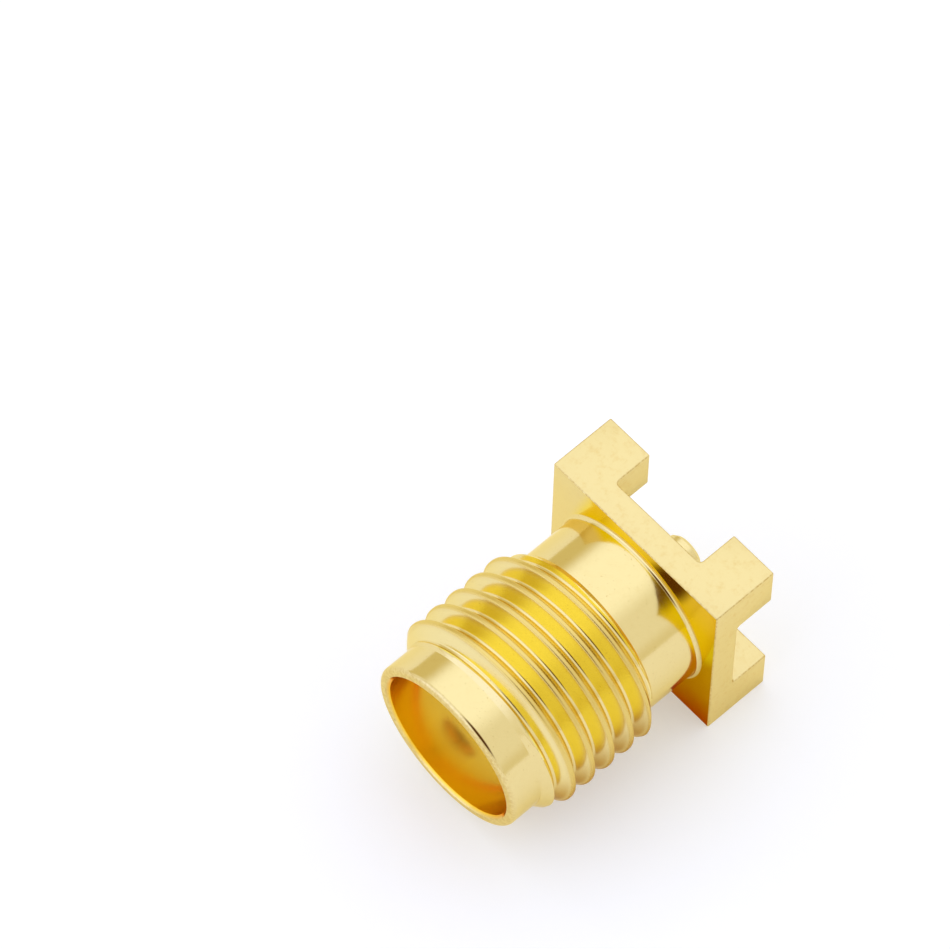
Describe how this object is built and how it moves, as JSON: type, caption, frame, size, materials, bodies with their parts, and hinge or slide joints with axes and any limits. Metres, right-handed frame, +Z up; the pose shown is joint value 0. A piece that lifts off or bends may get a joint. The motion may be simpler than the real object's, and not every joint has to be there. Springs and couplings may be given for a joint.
{
  "type": "sma connector",
  "caption": "Gold-plated coaxial jack with a threaded barrel, plain neck and square flange; corner feet and a centre pin solder it to a circuit board.",
  "frame": {"origin": "on the connector's axis at the board plane, the centre of the solder pin's end", "axes": "-Y along the axis out of the mating end, +Y into the board, +Z up with the flange's lower edge down, +X to the right when looking into the mating end"},
  "size_m": [0.0064, 0.0089, 0.0064],
  "materials": {
    "plated_body": "gold plated, bright where turned and satin where milled",
    "insulator": "white fluoropolymer, waxy",
    "plated_contact": "gold plated, bright"
  },
  "bodies": {
    "root": {"body": "plated_body", "insulator": "insulator", "center_contact": "plated_contact"}
  },
  "joints": []
}
